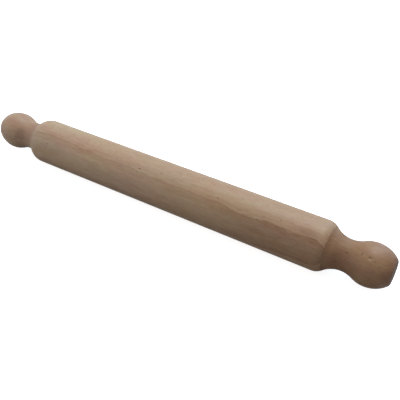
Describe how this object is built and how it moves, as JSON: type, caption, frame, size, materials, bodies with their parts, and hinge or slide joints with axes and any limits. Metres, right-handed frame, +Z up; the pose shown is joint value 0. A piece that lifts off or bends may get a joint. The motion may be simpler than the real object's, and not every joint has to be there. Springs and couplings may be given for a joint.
{
  "type": "rolling pin",
  "caption": "Straight turned wooden rolling pin with rounded shoulders and a fixed, waisted knob handle at each end, for rolling out pastry and dough.",
  "frame": {"origin": "on the turning axis, half way between the two end faces", "axes": "+X along the turning axis towards the right handle, +Z up, with the pin lying on its barrel; +Y completes the right-handed frame"},
  "size_m": [0.43, 0.045, 0.045],
  "materials": {
    "barrel_beech": "bare beech, fine sanded along the lathe, dull satin, light brown with wavy lengthwise figure and small dark flecks",
    "handle_beech": "bare beech, fine sanded, dull satin, a little redder and darker than the barrel from handling",
    "dowel_beech": "raw beech with glue flutes, unseen inside the joints"
  },
  "bodies": {
    "root": {"barrel": "barrel_beech", "left_handle": "handle_beech", "right_handle": "handle_beech", "left_dowel": "dowel_beech", "right_dowel": "dowel_beech"}
  },
  "joints": []
}
